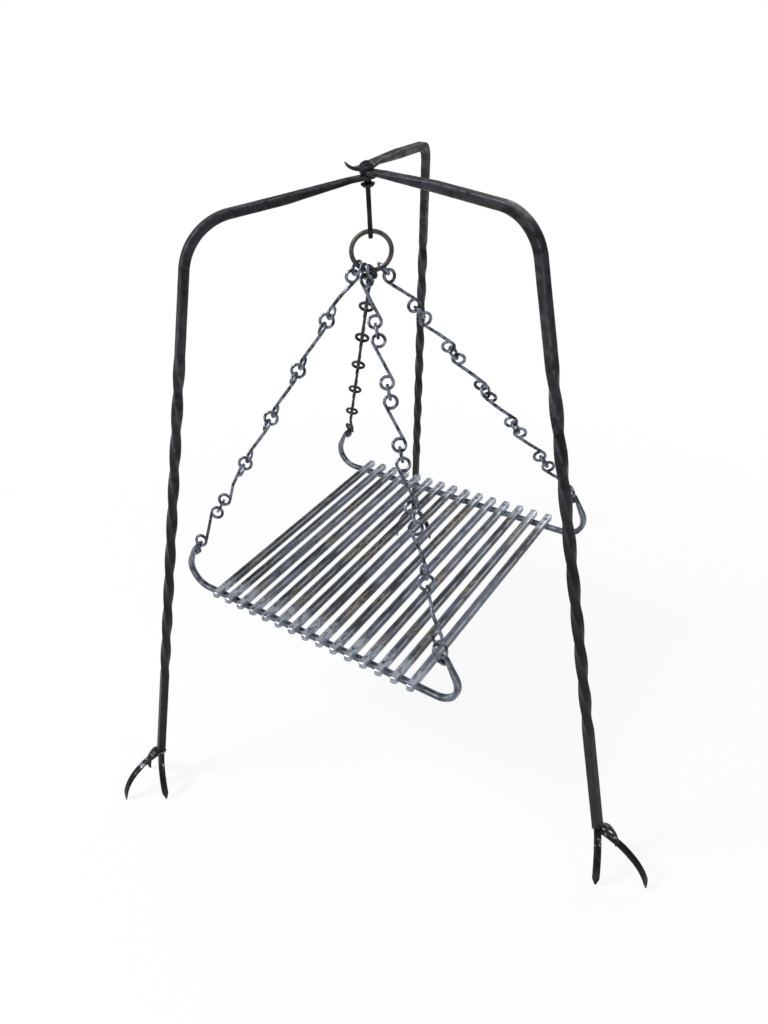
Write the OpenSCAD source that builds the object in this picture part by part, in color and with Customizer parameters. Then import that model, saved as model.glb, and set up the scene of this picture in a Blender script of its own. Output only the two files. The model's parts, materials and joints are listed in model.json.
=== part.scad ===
// Hanging grill grate: a folding three-leg stand of twisted square bar with a
// riveted bar grate hung from a swivel hook by four chains of long S-links.
// Millimetres. +Z is up and the origin is on the floor under the pivot.

/* [Stand] */
// Height of the corner where each arm turns down into its leg
corner_h = 893.6; // [600:0.1:1200]
// Distance from the pivot to the corner of the left leg
left_reach = 248.2; // [150:0.1:400]
// Distance from the pivot to the corner of the right leg
right_reach = 263.5; // [150:0.1:400]
// Distance from the pivot to the corner of the back leg
back_reach = 255.3; // [150:0.1:400]
// Side of the square bar of the legs
leg_bar = 12; // [8:0.5:20]
// Outward slope of the left leg from upright, in degrees
left_slope = 12.4; // [0:0.1:25]
// Outward slope of the right leg from upright, in degrees
right_slope = 11.2; // [0:0.1:25]
// Outward slope of the back leg from upright, in degrees
back_slope = 13.3; // [0:0.1:25]
// Sideways lean of the left leg, in degrees
left_lean = -0.6; // [-10:0.1:10]
// Sideways lean of the right leg, in degrees
right_lean = -1.5; // [-10:0.1:10]
// Sideways lean of the back leg, in degrees
back_lean = 7.4; // [-10:0.1:10]
// Bend radius at the corner of the left leg
left_bend = 72; // [20:1:100]
// Bend radius at the corner of the right leg
right_bend = 62; // [20:1:100]
// Bend radius at the corner of the back leg
back_bend = 36; // [16:1:80]
// Direction of the back leg seen from above, in degrees
back_turn = 103.2; // [60:0.1:150]
// Direction of the left leg seen from above, in degrees
left_turn = 242.1; // [200:0.1:280]
// Direction of the right leg seen from above, in degrees
right_turn = 346.6; // [300:0.1:400]
// Length along the leg from the corner to the start of the twist
twist_from = 171; // [60:1:400]
// Length along the leg from the corner to the end of the twist
twist_to = 693; // [300:1:800]
// Quarter turns in the twist of each leg
quarter_turns = 9; // [2:1:20]

/* [Pivot] */
// Thickness of each flattened arm end
leaf_t = 6; // [2:0.5:8]
// Space between the stacked arm ends
leaf_gap = 0.3; // [0.2:0.05:1]
// Width of each flattened arm end
leaf_w = 18; // [12:1:30]
// Height of the middle of the topmost arm end
leaf_top_z = 918; // [700:1:1200]
// Height of the middle of the bar above its flattened end, back arm
back_rise = 1; // [-6:0.5:6]
// Height of the middle of the bar above its flattened end, right arm
right_rise = 3; // [-6:0.5:6]
// Height of the middle of the bar above its flattened end, left arm
left_rise = -3; // [-6:0.5:6]
// Radius of the pivot pin
pin_r = 4; // [2:0.1:8]
// Radial clearance of the pin in the arm ends
pin_fit = 0.05; // [0.02:0.01:0.1]

/* [Claw feet] */
// Height of the underside of the leg bar
foot_h = 60; // [30:1:120]
// Reach of the front claw
claw_long = 76; // [40:1:120]
// Reach of the larger side claws
claw_short = 48; // [20:1:90]
// Reach of the small rear claw of the left and right feet
claw_rear = 34; // [20:1:90]
// Angle of the side claws from the front claw, left and right feet, in degrees
claw_spread = 60; // [30:1:90]
// Angle of the side claws from the front claw, back foot, in degrees
back_spread = 129; // [100:1:140]
// Width of a claw
claw_w = 10; // [6:0.5:16]
// Thickness of a claw at its root
claw_t = 5.5; // [3:0.5:9]
// Direction of the left front claw, in degrees
left_foot = 254; // [200:1:300]
// Direction of the right front claw, in degrees
right_foot = 352; // [300:1:400]
// Direction of the back front claw, in degrees
back_foot = 112; // [60:1:160]

/* [Hook and main ring] */
// Direction that the hook opens to, in degrees
hook_turn = -56; // [-180:1:180]
// Radius of the hook wire
hook_r = 3.2; // [2:0.1:5]
// Mean radius of the hook bend
hook_bend = 8.85; // [6:0.05:14]
// Height of the middle of the hook bend
hook_z = 836.5; // [600:0.5:1100]
// Mean radius of the main ring
ring_mr = 27; // [18:0.5:45]
// Wire radius of the main ring
ring_wr = 3.2; // [2:0.1:5]

/* [Chains] */
// Wire radius of the links and the small rings
wire_r = 2.25; // [1.5:0.05:4]
// Mean radius of the rolled eyes of a link
eye_r = 8.5; // [6:0.1:14]
// Mean radius of the small rings
small_r = 9.5; // [6:0.1:14]
// Mean radius of the larger ring at the near right corner
large_r = 13; // [9:0.1:20]
// Wire radius of the larger ring
large_wr = 2; // [1.5:0.05:4]
// Play between pieces that hang in each other
play = 0.35; // [0.3:0.01:1]

/* [Grate] */
// Number of bars
bar_n = 15; // [5:1:25]
// Distance between bars, middle to middle
bar_pitch = 25.6; // [15:0.1:40]
// Length of a bar
bar_len = 461; // [200:1:700]
// Side of the square bars
bar_s = 10.5; // [5:0.5:14]
// Height of the middle of the bars
bar_z = 292.75; // [150:0.05:600]
// Distance of each rail from the middle
rail_y = 212; // [80:1:320]
// Side of the square rails
rail_s = 8; // [5:0.5:14]
// Radius of the upswept bend at the rail ends
curl_r = 33; // [15:1:60]
// Distance of the rolled rail eyes from the middle
eye_x = 223; // [100:1:350]
// Height of the rolled rail eyes
eye_z = 355; // [200:1:600]
// Hole radius of the rolled rail eyes
eye_hole = 4.2; // [2.5:0.1:6]
// Radius of the rivet shanks
rivet_r = 1.6; // [1:0.1:3]

/* [Hidden] */
$fn = 48;
iron = [0.20, 0.20, 0.22];
steel = [0.36, 0.38, 0.43];
warm = [0.36, 0.33, 0.31];
chamfer = 1.2;
leaf_r0 = 26;
taper_len = 92;
ring_z = hook_z - hook_bend + 2 * ring_wr + 0.4 + (hook_r - ring_wr) - ring_mr;
rail_z = bar_z - bar_s / 2 - rail_s / 2;
roll_t = 2.8;
ring_out = 4;
curl_end = 24;
claw_n = 14;
shoulder_z = 897.9;
eye_open = 36;

// Square section with its four edges knocked down
module bar_section(s, c) {
  h = s / 2;
  polygon([[-h + c, -h], [h - c, -h], [h, -h + c], [h, h - c],
           [h - c, h], [-h + c, h], [-h, h - c], [-h, -h + c]]);
}

// Stand: slope of an arm, its length, and the length of the leg below it
function arm_tilt(zl, reach) = atan2(zl - corner_h, reach - leaf_r0);
function arm_len(zl, reach) = norm([reach - leaf_r0, zl - corner_h]);
function leg_turn(zl, reach, slope) = 90 - slope - arm_tilt(zl, reach);
function leg_len(zl, reach, slope, lean) =
  (corner_h - foot_h)
  / (cos(leg_turn(zl, reach, slope)) * sin(arm_tilt(zl, reach))
     + sin(leg_turn(zl, reach, slope)) * cos(lean) * cos(arm_tilt(zl, reach)));
function leaf_z(k) = leaf_top_z - k * (leaf_t + leaf_gap);

// Middle of the underside of a leg, in the leg's own upright frame
function foot_pos(zl, reach, slope, lean) =
  let (a = arm_tilt(zl, reach),
       t = leg_turn(zl, reach, slope),
       l = leg_len(zl, reach, slope, lean),
       px = arm_len(zl, reach) + l * cos(t),
       pz = -l * sin(t))
  [leaf_r0 + px * cos(a) + pz * cos(lean) * sin(a), -pz * sin(lean), foot_h];

module twisted_bar(len) {
  step = 90 * quarter_turns / len;
  rotate([0, 0, 0.4 * step])
    translate([0, 0, -0.4])
      linear_extrude(height = len + 0.8, twist = step * (len + 0.8),
                     slices = 5 * quarter_turns, $fn = 8)
        bar_section(leg_bar - 0.3, chamfer);
}

// Square bar from the leaf outwards, over the corner and down to the foot
module leg_shape(zl, rise, reach, slope, lean, bend) {
  a = arm_tilt(zl, reach);
  al = arm_len(zl, reach);
  t = leg_turn(zl, reach, slope);
  tl = bend * tan(t / 2);
  ll = leg_len(zl, reach, slope, lean);
  translate([leaf_r0, 0, zl])
    rotate([0, a, 0]) {
      hull() {
        rotate([0, -a, 0]) translate([-0.6, -leaf_w / 2 + 0.1, -rise - leaf_t / 2 + 0.05])
          cube([0.2, leaf_w - 0.2, leaf_t - 0.1]);
        rotate([lean, 0, 0]) translate([taper_len, 0, 0]) rotate([0, 90, 0])
          linear_extrude(height = 0.5) bar_section(leg_bar, chamfer);
      }
      rotate([lean, 0, 0]) {
        translate([taper_len + 0.1, 0, 0]) rotate([0, 90, 0])
          linear_extrude(height = al - tl - taper_len + 0.2) bar_section(leg_bar - 0.1, chamfer);
        translate([al - tl, 0, -bend]) rotate([90, 0, 0]) rotate([0, 0, 90 - t])
          rotate_extrude(angle = t) translate([bend, 0]) bar_section(leg_bar, chamfer);
        translate([al, 0, 0]) rotate([0, 90 + t, 0]) {
          translate([0, 0, tl - 0.3])
            linear_extrude(height = twist_from - tl + 0.3) bar_section(leg_bar - 0.1, chamfer);
          translate([0, 0, twist_from]) twisted_bar(twist_to - twist_from);
          translate([0, 0, twist_to])
            linear_extrude(height = ll + 6 - twist_to) bar_section(leg_bar - 0.1, chamfer);
        }
      }
    }
}

// Flattened arm end with a short point behind the pin
module leaf(zl) {
  w = leaf_w / 2;
  translate([0, 0, zl - leaf_t / 2])
    linear_extrude(height = leaf_t)
      union() {
        circle(r = w + 0.5);
        polygon([[leaf_r0, -w], [leaf_r0, w], [0, w + 0.4], [-7, 6.5], [-16, 0],
                 [-7, -6.5], [0, -w - 0.4]]);
      }
}

// Topmost arm end, drawn out to a point that curls up
module curled_leaf(zl) {
  w = leaf_w / 2;
  translate([0, 0, zl - leaf_t / 2])
    linear_extrude(height = leaf_t)
      union() {
        circle(r = w + 0.5);
        polygon([[leaf_r0, -w], [leaf_r0, w], [0, w + 0.4], [0, -w - 0.4]]);
      }
  rotate([0, 0, -34])
    intersection() {
      translate([0, 30, zl]) rotate([90, 0, 0])
        linear_extrude(height = 60)
          polygon([[0, -leaf_t / 2], [-12, -leaf_t / 2], [-18, -1.8], [-24, 1.2], [-29, 5.6],
                   [-33, 11.2], [-34.2, 13.2], [-29.5, 9], [-24, 4.9], [-18, 3.2],
                   [-12, leaf_t / 2], [0, leaf_t / 2]]);
      translate([0, 0, zl - 20])
        linear_extrude(height = 60)
          polygon([[0, -w], [-8, -8], [-20, -6], [-30, -3.6], [-38, -0.6],
                   [-38, 0.6], [-30, 3.6], [-20, 6], [-8, 8], [0, w]]);
    }
}

module leg_solid(zl, rise, reach, slope, lean, bend, curled) {
  difference() {
    union() {
      leg_shape(zl + rise, rise, reach, slope, lean, bend);
      if (curled) {
        curled_leaf(zl);
      } else {
        leaf(zl);
      }
    }
    translate([0, 0, zl - 10]) cylinder(r = pin_r + pin_fit, h = 20);
    translate([reach, -200, foot_h - 40]) cube([400, 400, 40]);
  }
}

// One claw along +X: a flat strap that arcs down to a point on the floor
function claw_x(reach, t) = 4 + (reach - 4) * sin(t);
function claw_z(t) = (foot_h - claw_t / 2) * cos(t);
function claw_h(t) = claw_t / 2 - (claw_t / 2 - 0.9) * pow(t / 90, 2);
function claw_dir(reach, t) =
  let (dx = (reach - 4) * cos(t), dz = -(foot_h - claw_t / 2) * sin(t))
  [dx, dz] / norm([dx, dz]);

module claw(reach) {
  outer = [for (i = [0 : claw_n])
    let (t = 90 * i / claw_n, d = claw_dir(reach, t), h = claw_h(t))
    [claw_x(reach, t) - d[1] * h, claw_z(t) + d[0] * h]];
  inner = [for (i = [claw_n : -1 : 0])
    let (t = 90 * i / claw_n, d = claw_dir(reach, t), h = claw_h(t))
    [claw_x(reach, t) + d[1] * h, claw_z(t) - d[0] * h]];
  intersection() {
    translate([0, 20, 0]) rotate([90, 0, 0])
      linear_extrude(height = 40)
        polygon(concat([[-6, foot_h]], outer, inner, [[-6, foot_h - claw_t]]));
    translate([-20, 0, 0]) rotate([90, 0, 90])
      linear_extrude(height = 160)
        polygon([[-claw_w / 2, 80], [-claw_w / 2, 12], [-1, 0], [1, 0],
                 [claw_w / 2, 12], [claw_w / 2, 80]]);
  }
}

module claw_set(zl, reach, slope, lean, turn, front, spread, plus, minus) {
  p = foot_pos(zl, reach, slope, lean);
  rotate([0, 0, turn])
    translate([p[0], p[1], 0])
      rotate([0, 0, front - turn]) {
        claw(claw_long);
        difference() {
          rotate([0, 0, spread]) claw(plus);
          translate([-40, -60, -10]) cube([160, 60 + claw_w / 2 + 0.02, 100]);
        }
        difference() {
          rotate([0, 0, -spread]) claw(minus);
          translate([-40, -claw_w / 2 - 0.02, -10]) cube([160, 60, 100]);
        }
      }
}

// A round wire bent along an arc in the XZ plane, from angle a0 over angle da
module wire_arc(mr, wr, a0, da) {
  rotate([90, 0, 0]) rotate([0, 0, a0])
    rotate_extrude(angle = da) translate([mr, 0]) circle(r = wr);
}

// Riveted pin, shoulder, shank and hook, forged in one piece
module hook_solid() {
  q = 2;
  s = acos((24 - hook_bend) / norm([24, q])) - atan(q / 24);
  z1 = 868;
  z2 = z1 - 24 * sin(s) - q * cos(s);
  head_z = leaf_top_z + leaf_t / 2 + 0.2;
  low_z = leaf_z(2) - leaf_t / 2 - 0.3;
  rotate([0, 0, hook_turn]) {
    intersection() {
      translate([0, 0, head_z + 5 - 12]) sphere(r = 12);
      translate([0, 0, head_z]) cylinder(r = 10, h = 8);
    }
    translate([0, 0, low_z - 1]) cylinder(r = pin_r, h = head_z + 1 - low_z + 0.5);
    translate([0, 0, shoulder_z]) cylinder(r = pin_r + 0.9, h = low_z - shoulder_z);
    translate([0, 0, z1 - 0.3]) cylinder(r = hook_r - 0.05, h = shoulder_z + 1 - z1);
    translate([-12, 0, z1]) wire_arc(12, hook_r, -s, s);
    translate([-hook_bend / 2, 0, (z1 + z2) / 2]) rotate([0, s, 0])
      cylinder(r = hook_r - 0.05, h = 2.6, center = true);
    translate([12 - hook_bend, 0, z2]) wire_arc(12, hook_r, 180 - s, s);
    translate([-hook_bend, 0, hook_z - 0.3]) cylinder(r = hook_r - 0.05, h = z2 - hook_z + 0.6);
    translate([0, 0, hook_z]) wire_arc(hook_bend, hook_r, 180, 180);
    translate([hook_bend, 0, hook_z - 0.3]) cylinder(r = hook_r - 0.05, h = 15.3);
    translate([hook_bend, 0, hook_z + 15]) sphere(r = hook_r);
  }
}

// Bell-shaped collar on the shank, flat above and rounded below
module collar_solid() {
  translate([0, 0, shoulder_z - 7.1])
    rotate_extrude()
      difference() {
        intersection() {
          translate([0, 11]) circle(r = 11);
          square([9.5, 7]);
        }
        square([hook_r + 0.05, 12]);
      }
}

// Chains: frames, lengths and stations along each chain, counted from the rail
side_x = [-1, 1, 1, -1];
side_y = [-1, -1, 1, 1];
hang_at = [-44.5, -23, 29.5, -3];
lift = [0.5, 1, 0.4, 0.8];
low_r = [small_r, large_r, small_r, small_r];
low_wr = [wire_r, large_wr, wire_r, wire_r];
ring_roll = [[51, 72, 162, 162, 162, 162, 105], [126, 76, 166, 166, 166, 166, 191],
             [51, 80, 70, 50, 65, 100, 104], [127, 67, 67, 67, 67, 67, 211]];
low_roll = [[328, 342, 92, 92, 92, 100], [210, 194, 256, 256, 256, 256],
            [145, 170, 160, 140, 155, 190], [30, -23, -23, -23, -23, -23]];
high_roll = [[342, 272, 92, 92, 92, 188], [166, 256, 256, 256, 256, 286],
             [170, 160, 140, 155, 190, 208], [-23, -23, -23, -23, -23, -41]];

function hang_point(k) =
  let (q = ring_mr * sin(hang_at[k]))
  [-q * sin(hook_turn), q * cos(hook_turn), ring_z - ring_mr * cos(hang_at[k])];
function rail_eye(k) = [side_x[k] * eye_x, side_y[k] * (rail_y + ring_out), eye_z];
function chain_vec(k) = hang_point(k) - rail_eye(k);
function chain_len(k) = norm(chain_vec(k));
function chain_turn(k) = atan2(chain_vec(k)[1], chain_vec(k)[0]);
function chain_tilt(k) = acos(chain_vec(k)[2] / chain_len(k));
function low_s(k) = 0.1 + low_r[k];
function high_s(k) = chain_len(k) - small_r + ring_wr + wire_r + play + lift[k];
function first_eye(k) = low_s(k) + low_r[k] + eye_r - low_wr[k] - wire_r - play;
hop = small_r + eye_r - 2 * wire_r - play;
function link_len(k) = (high_s(k) - hop - first_eye(k) - 10 * hop) / 6;
function link_s(k, i) = first_eye(k) + i * (link_len(k) + 2 * hop);
function ring_s(k, j) = j == 0 ? low_s(k) : link_s(k, j - 1) + link_len(k) + hop;

module on_chain(k) {
  translate(rail_eye(k)) rotate([0, chain_tilt(k), chain_turn(k)]) children();
}

module chain_ring(k, j) {
  mr = j == 0 ? low_r[k] : small_r;
  wr = j == 0 ? low_wr[k] : wire_r;
  on_chain(k) translate([0, 0, ring_s(k, j)]) rotate([90, 0, ring_roll[k][j]])
    rotate_extrude() translate([mr, 0]) circle(r = wr);
}

module ring_set(k) {
  for (j = [0 : 6]) chain_ring(k, j);
}

// Rolled eye of a link, and the straight run from it along the shank
module link_eye(d) {
  wire_arc(eye_r, wire_r, asin(2 * eye_r / d) + eye_open, 360 - eye_open);
}
module link_run(d, len) {
  a = asin(2 * eye_r / d);
  translate([eye_r * cos(a), 0, eye_r * sin(a)]) rotate([0, -a, 0])
    translate([0, 0, -0.4]) cylinder(r = wire_r - 0.05, h = len + 0.4);
}

// Long S-link: an eye on each side of its shank, with any twist between them
module s_link(k, i) {
  d = link_len(k);
  on_chain(k) translate([0, 0, link_s(k, i)]) {
    run = sqrt(d * d / 4 - eye_r * eye_r);
    rotate([0, 0, low_roll[k][i]]) link_eye(d);
    translate([0, 0, d]) rotate([0, 180, high_roll[k][i]]) link_eye(d);
    if (low_roll[k][i] == high_roll[k][i]) {
      rotate([0, 0, low_roll[k][i]]) link_run(d, 2 * run + 0.4);
    } else {
      rotate([0, 0, low_roll[k][i]]) link_run(d, run);
      translate([0, 0, d]) rotate([0, 180, high_roll[k][i]]) link_run(d, run);
      translate([0, 0, d / 2]) sphere(r = wire_r);
    }
  }
}

// Grate: one bar with chamfered ends and its two rivet holes
module grate_bar(i) {
  x = (i - (bar_n + 1) / 2) * bar_pitch;
  difference() {
    translate([x, 0, bar_z]) rotate([90, 0, 0])
      union() {
        translate([0, 0, -bar_len / 2 + 3])
          linear_extrude(height = bar_len - 6) bar_section(bar_s, 0.8);
        hull() {
          translate([0, 0, bar_len / 2 - 3.1])
            linear_extrude(height = 0.1) bar_section(bar_s, 0.8);
          translate([0, 0, bar_len / 2 - 0.1])
            linear_extrude(height = 0.1) bar_section(bar_s - 3, 1.2);
        }
        hull() {
          translate([0, 0, -bar_len / 2 + 3])
            linear_extrude(height = 0.1) bar_section(bar_s, 0.8);
          translate([0, 0, -bar_len / 2])
            linear_extrude(height = 0.1) bar_section(bar_s - 3, 1.2);
        }
      }
    for (s = [-1, 1])
      translate([x, s * rail_y, bar_z - bar_s]) cylinder(r = rivet_r + 0.03, h = 2 * bar_s);
  }
}

// Outline of the right half of a rail: straight, upswept bend, taper and rolled eye
module rail_half() {
  g = curl_end;
  r = curl_r;
  h = rail_s / 2;
  tx = eye_x + (eye_hole + roll_t / 2) * cos(g);
  tz = eye_z + (eye_hole + roll_t / 2) * sin(g);
  run = (tz - rail_z - r - r * sin(g)) / cos(g);
  e = roll_t / 2 - 0.15;
  ri = r - h + 0.06;
  ro = r + h - 0.06;
  lap = 0.4;
  cx = tx + run * sin(g) - r * cos(g);
  cz = rail_z + r;
  translate([-1, rail_z - h]) square([cx + 1, rail_s]);
  intersection() {
    translate([cx, cz])
      difference() {
        circle(r = r + h);
        circle(r = r - h);
      }
    polygon([[cx, cz], [cx, cz - 2 * r], [cx + 2 * r, cz - 2 * r], [cx + 2 * r, cz],
             [cx + 2 * r * cos(g), cz + 2 * r * sin(g)]]);
  }
  polygon([[cx + ri * cos(g) + lap * sin(g), cz + ri * sin(g) - lap * cos(g)],
           [cx + ro * cos(g) + lap * sin(g), cz + ro * sin(g) - lap * cos(g)],
           [tx + e * cos(g) - lap * sin(g), tz + e * sin(g) + lap * cos(g)],
           [tx - e * cos(g) - lap * sin(g), tz - e * sin(g) + lap * cos(g)]]);
  translate([eye_x, eye_z])
    difference() {
      circle(r = eye_hole + roll_t);
      circle(r = eye_hole);
    }
}

module rail_solid(s) {
  difference() {
    translate([0, s * rail_y + rail_s / 2, 0]) rotate([90, 0, 0])
      linear_extrude(height = rail_s)
        union() {
          rail_half();
          mirror([1, 0]) rail_half();
        }
    for (i = [1 : bar_n])
      translate([(i - (bar_n + 1) / 2) * bar_pitch, s * rail_y, rail_z - rail_s])
        cylinder(r = rivet_r + 0.03, h = 2 * rail_s);
  }
}

// Rivets: a shank through bar and rail, peened flush on top, with a low domed head below
module rivet_row(s) {
  zt = bar_z + bar_s / 2;
  zb = rail_z - rail_s / 2;
  for (i = [1 : bar_n])
    translate([(i - (bar_n + 1) / 2) * bar_pitch, s * rail_y, 0]) {
      translate([0, 0, zb - 0.3]) cylinder(r = rivet_r, h = zt - zb + 0.3);
      intersection() {
        translate([0, 0, zb - 1.3 + 2.8]) sphere(r = 2.8);
        translate([0, 0, zb - 3]) cylinder(r = 4, h = 3);
      }
    }
}

module leg_back() {
  color(iron) rotate([0, 0, back_turn])
    leg_solid(leaf_z(0), back_rise, back_reach, back_slope, back_lean, back_bend, true);
}
module leg_right() {
  color(iron) rotate([0, 0, right_turn])
    leg_solid(leaf_z(1), right_rise, right_reach, right_slope, right_lean, right_bend, false);
}
module leg_left() {
  color(iron) rotate([0, 0, left_turn])
    leg_solid(leaf_z(2), left_rise, left_reach, left_slope, left_lean, left_bend, false);
}
module claws_back() {
  color(iron) claw_set(leaf_z(0) + back_rise, back_reach, back_slope, back_lean, back_turn,
                       back_foot, back_spread, claw_short, claw_short);
}
module claws_right() {
  color(iron) claw_set(leaf_z(1) + right_rise, right_reach, right_slope, right_lean, right_turn,
                       right_foot, claw_spread, claw_rear, claw_short);
}
module claws_left() {
  color(iron) claw_set(leaf_z(2) + left_rise, left_reach, left_slope, left_lean, left_turn,
                       left_foot, claw_spread, claw_short, claw_rear);
}
module swivel_hook() { color(iron) hook_solid(); }
module hook_collar() { color(iron) collar_solid(); }
module main_ring() {
  color(warm) translate([0, 0, ring_z]) rotate([90, 0, hook_turn + 90])
    rotate_extrude() translate([ring_mr, 0]) circle(r = ring_wr);
}
module bar_01() { color(steel) grate_bar(1); }
module bar_02() { color(steel) grate_bar(2); }
module bar_03() { color(steel) grate_bar(3); }
module bar_04() { color(steel) grate_bar(4); }
module bar_05() { color(steel) grate_bar(5); }
module bar_06() { color(steel) grate_bar(6); }
module bar_07() { color(steel) grate_bar(7); }
module bar_08() { color(steel) grate_bar(8); }
module bar_09() { color(steel) grate_bar(9); }
module bar_10() { color(steel) grate_bar(10); }
module bar_11() { color(steel) grate_bar(11); }
module bar_12() { color(steel) grate_bar(12); }
module bar_13() { color(steel) grate_bar(13); }
module bar_14() { color(steel) grate_bar(14); }
module bar_15() { color(steel) grate_bar(15); }
module rail_near() { color(steel) rail_solid(-1); }
module rail_far() { color(steel) rail_solid(1); }
module rivets_near() { color(steel) rivet_row(-1); }
module rivets_far() { color(steel) rivet_row(1); }
module rings_a() { color(steel) ring_set(0); }
module rings_b() { color(steel) ring_set(1); }
module rings_c() { color(steel) ring_set(2); }
module rings_d() { color(steel) ring_set(3); }
module link_a1() { color(steel) s_link(0, 0); }
module link_a2() { color(steel) s_link(0, 1); }
module link_a3() { color(steel) s_link(0, 2); }
module link_a4() { color(steel) s_link(0, 3); }
module link_a5() { color(steel) s_link(0, 4); }
module link_a6() { color(steel) s_link(0, 5); }
module link_b1() { color(steel) s_link(1, 0); }
module link_b2() { color(steel) s_link(1, 1); }
module link_b3() { color(steel) s_link(1, 2); }
module link_b4() { color(steel) s_link(1, 3); }
module link_b5() { color(steel) s_link(1, 4); }
module link_b6() { color(steel) s_link(1, 5); }
module link_c1() { color(steel) s_link(2, 0); }
module link_c2() { color(steel) s_link(2, 1); }
module link_c3() { color(steel) s_link(2, 2); }
module link_c4() { color(steel) s_link(2, 3); }
module link_c5() { color(steel) s_link(2, 4); }
module link_c6() { color(steel) s_link(2, 5); }
module link_d1() { color(steel) s_link(3, 0); }
module link_d2() { color(steel) s_link(3, 1); }
module link_d3() { color(steel) s_link(3, 2); }
module link_d4() { color(steel) s_link(3, 3); }
module link_d5() { color(steel) s_link(3, 4); }
module link_d6() { color(steel) s_link(3, 5); }

leg_back();
leg_left();
leg_right();
claws_back();
claws_left();
claws_right();
swivel_hook();
hook_collar();
main_ring();
bar_01();
bar_02();
bar_03();
bar_04();
bar_05();
bar_06();
bar_07();
bar_08();
bar_09();
bar_10();
bar_11();
bar_12();
bar_13();
bar_14();
bar_15();
rail_near();
rail_far();
rivets_near();
rivets_far();
rings_a();
rings_b();
rings_c();
rings_d();
link_a1();
link_a2();
link_a3();
link_a4();
link_a5();
link_a6();
link_b1();
link_b2();
link_b3();
link_b4();
link_b5();
link_b6();
link_c1();
link_c2();
link_c3();
link_c4();
link_c5();
link_c6();
link_d1();
link_d2();
link_d3();
link_d4();
link_d5();
link_d6();
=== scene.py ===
"""Looks of a hanging grill grate: a folding forged stand, a swivel hook, four chains and a bar grate."""
import json
from dataclasses import dataclass, replace
from math import acos, asin, atan, atan2, cos, hypot, pi, radians, sin, sqrt, tan, tau

import bmesh
import bpy
from mathutils import Matrix, Vector


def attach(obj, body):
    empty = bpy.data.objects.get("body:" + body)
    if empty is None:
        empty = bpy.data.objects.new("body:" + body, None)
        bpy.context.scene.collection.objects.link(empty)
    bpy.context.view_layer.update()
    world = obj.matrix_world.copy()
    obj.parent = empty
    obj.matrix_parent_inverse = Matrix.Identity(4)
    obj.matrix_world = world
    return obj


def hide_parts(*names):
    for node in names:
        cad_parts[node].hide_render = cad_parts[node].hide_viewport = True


bl_info = {
    "name": "Hanging Grill Grate",
    "version": (1, 0, 0),
    "blender": (4, 5, 0),
    "location": "3D View > Sidebar > Grill Grate",
    "description": "Forges the pieces of a hanging grill grate and lights them",
    "category": "Object",
}

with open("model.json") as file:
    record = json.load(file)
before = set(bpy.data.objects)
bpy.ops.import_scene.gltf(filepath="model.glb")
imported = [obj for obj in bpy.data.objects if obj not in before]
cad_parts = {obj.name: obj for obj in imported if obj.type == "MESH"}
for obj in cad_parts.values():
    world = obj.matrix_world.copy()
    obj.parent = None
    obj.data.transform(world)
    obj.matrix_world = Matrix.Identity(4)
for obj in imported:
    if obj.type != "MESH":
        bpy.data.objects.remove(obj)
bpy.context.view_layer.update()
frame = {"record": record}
RECORD = frame["record"]
BODY_OF = {node: body for body, nodes in RECORD["behaviour"]["bodies"].items() for node in nodes}

MM = 0.001
X, Y, Z = Vector((1, 0, 0)), Vector((0, 1, 0)), Vector((0, 0, 1))
WHITE = (1, 1, 1, 1)
# The grate's two long sides, and the sign of Y on each
SIDES = {"near": -1, "far": 1}
# Number of S-links in a chain, which has one ring more
LINKS = 6
# Space between the main ring and the hook that it hangs on
RING_CLEAR = 0.4 * MM
# Distance between a chain's start at its rail eye and its lowest ring
START_GAP = 0.1 * MM
# Share of the wire's thickness that is left at the end of a link's eye
SCARF = 0.85
# Distance within which a section's seam and its pointed ends close
WELD = 4e-6
# How far a square section's points crowd towards its four corners, in radians
CROWD = 0.2
# Squareness of each kind of section: 2 is round, and its corners get sharper as it grows
BAR_SQUARE = 11.0
ROLL_SQUARE = 8.0
LEAF_SQUARE = 6.0
CLAW_SQUARE = 5.0
HOOK_SQUARE = 3.4
NECK_SQUARE = 3.0
SHANK_SQUARE = 2.6
LINK_SQUARE = 2.3
# How much squarer a link's shank is in its middle than at its eyes
HAMMERED = 1.6
RING_SQUARE = 2.2

# Each leg: how far its corner stands out, its slope and lean, its bend, and its place round the pin
LEGS = {
    "back": dict(level=0, rise=1, reach=255.3, slope=13.3, lean=7.4, bend=36, turn=103.2, curled=True),
    "right": dict(level=1, rise=3, reach=263.5, slope=11.2, lean=-1.5, bend=62, turn=346.6, curled=False),
    "left": dict(level=2, rise=-3, reach=248.2, slope=12.4, lean=-0.6, bend=72, turn=242.1, curled=False),
}
# Each foot: direction of its front claw, spread of the side claws, and length of the three
FEET = {
    "back": dict(front=112, spread=129, claws=(76, 48, 48)),
    "right": dict(front=352, spread=60, claws=(76, 34, 48)),
    "left": dict(front=254, spread=60, claws=(76, 48, 34)),
}
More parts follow.
